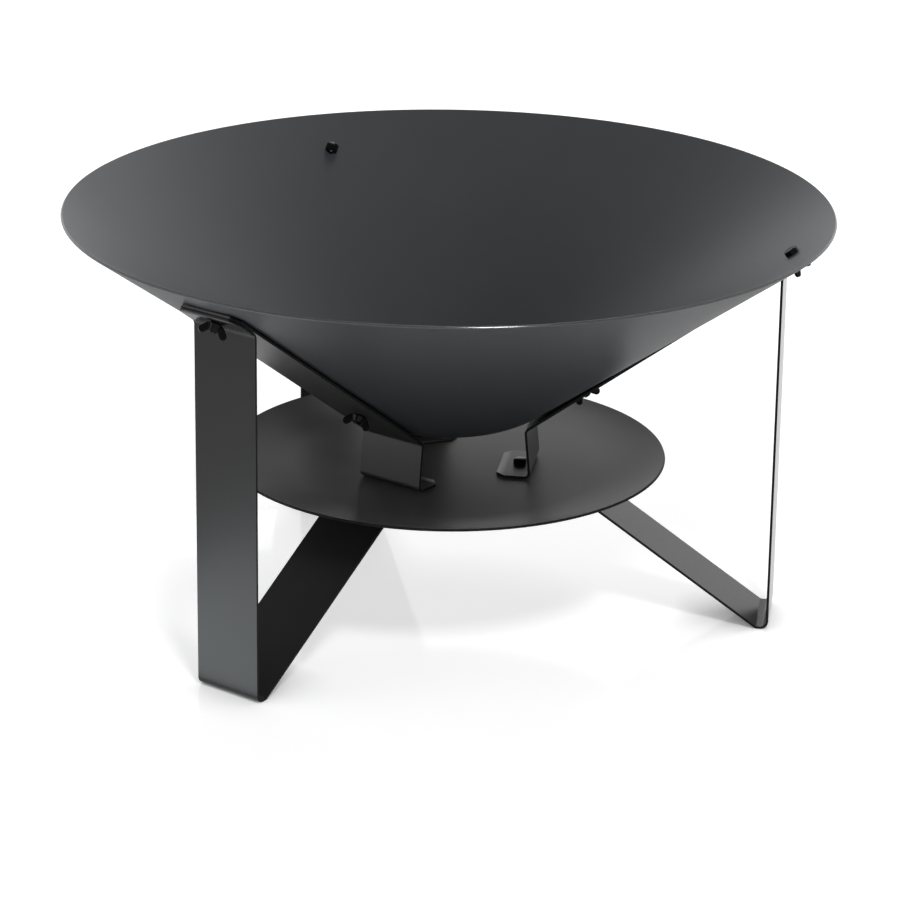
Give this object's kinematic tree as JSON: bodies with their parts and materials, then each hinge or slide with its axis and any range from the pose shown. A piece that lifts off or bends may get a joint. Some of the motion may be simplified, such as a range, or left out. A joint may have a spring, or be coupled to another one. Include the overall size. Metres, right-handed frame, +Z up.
{
  "type": "fire bowl",
  "caption": "Wide conical steel fire bowl on bent strip legs, with arms under its wall, a shallow ash dish below and bolts with wing nuts.",
  "frame": {"origin": "on the floor, under the middle of the bowl", "axes": "+Z up, +X towards leg 1"},
  "size_m": [0.606, 0.606, 0.3267],
  "materials": {
    "bowl": "matte anthracite powder coat",
    "dish": "matte anthracite powder coat",
    "legs": "matte anthracite powder coat",
    "arms": "matte anthracite powder coat",
    "bolts": "semi-gloss black coating",
    "wing_nuts": "semi-gloss black coating"
  },
  "bodies": {
    "stand": {"fire_bowl": "bowl", "ash_dish": "dish", "leg_1": "legs", "leg_2": "legs", "leg_3": "legs", "arm_1": "arms", "arm_2": "arms", "arm_3": "arms", "rim_bolt_1": "bolts", "rim_bolt_2": "bolts", "rim_bolt_3": "bolts", "arm_bolt_1": "bolts", "arm_bolt_2": "bolts", "arm_bolt_3": "bolts", "dish_bolt_1": "bolts", "dish_bolt_2": "bolts", "dish_bolt_3": "bolts"},
    "rim_wing_nut_1": {"rim_wing_nut_1": "wing_nuts"},
    "rim_wing_nut_2": {"rim_wing_nut_2": "wing_nuts"},
    "rim_wing_nut_3": {"rim_wing_nut_3": "wing_nuts"},
    "arm_wing_nut_1": {"arm_wing_nut_1": "wing_nuts"},
    "arm_wing_nut_2": {"arm_wing_nut_2": "wing_nuts"},
    "arm_wing_nut_3": {"arm_wing_nut_3": "wing_nuts"},
    "dish_wing_nut_1": {"dish_wing_nut_1": "wing_nuts"},
    "dish_wing_nut_2": {"dish_wing_nut_2": "wing_nuts"},
    "dish_wing_nut_3": {"dish_wing_nut_3": "wing_nuts"}
  },
  "joints": [
    {"name": "rim_wing_nut_1_turn", "type": "hinge", "parent": "stand", "child": "rim_wing_nut_1", "pos_m": [0.271, 0, 0.30217], "axis": [0.5825, 0, -0.8128], "continuous": true},
    {"name": "rim_wing_nut_2_turn", "type": "hinge", "parent": "stand", "child": "rim_wing_nut_2", "pos_m": [-0.1355, 0.23469, 0.30217], "axis": [-0.2912, 0.5045, -0.8128], "continuous": true},
    {"name": "rim_wing_nut_3_turn", "type": "hinge", "parent": "stand", "child": "rim_wing_nut_3", "pos_m": [-0.1355, -0.23469, 0.30217], "axis": [-0.2912, -0.5045, -0.8128], "continuous": true},
    {"name": "arm_wing_nut_1_turn", "type": "hinge", "parent": "stand", "child": "arm_wing_nut_1", "pos_m": [0.1075, 0, 0.185], "axis": [0.5825, 0, -0.8128], "continuous": true},
    {"name": "arm_wing_nut_2_turn", "type": "hinge", "parent": "stand", "child": "arm_wing_nut_2", "pos_m": [-0.05375, 0.0931, 0.185], "axis": [-0.2912, 0.5045, -0.8128], "continuous": true},
    {"name": "arm_wing_nut_3_turn", "type": "hinge", "parent": "stand", "child": "arm_wing_nut_3", "pos_m": [-0.05375, -0.0931, 0.185], "axis": [-0.2912, -0.5045, -0.8128], "continuous": true},
    {"name": "dish_wing_nut_1_turn", "type": "hinge", "parent": "stand", "child": "dish_wing_nut_1", "pos_m": [0.06, 0, 0.1126], "axis": [0, 0, -1], "continuous": true},
    {"name": "dish_wing_nut_2_turn", "type": "hinge", "parent": "stand", "child": "dish_wing_nut_2", "pos_m": [-0.03, 0.05196, 0.1126], "axis": [0, 0, -1], "continuous": true},
    {"name": "dish_wing_nut_3_turn", "type": "hinge", "parent": "stand", "child": "dish_wing_nut_3", "pos_m": [-0.03, -0.05196, 0.1126], "axis": [0, 0, -1], "continuous": true}
  ]
}
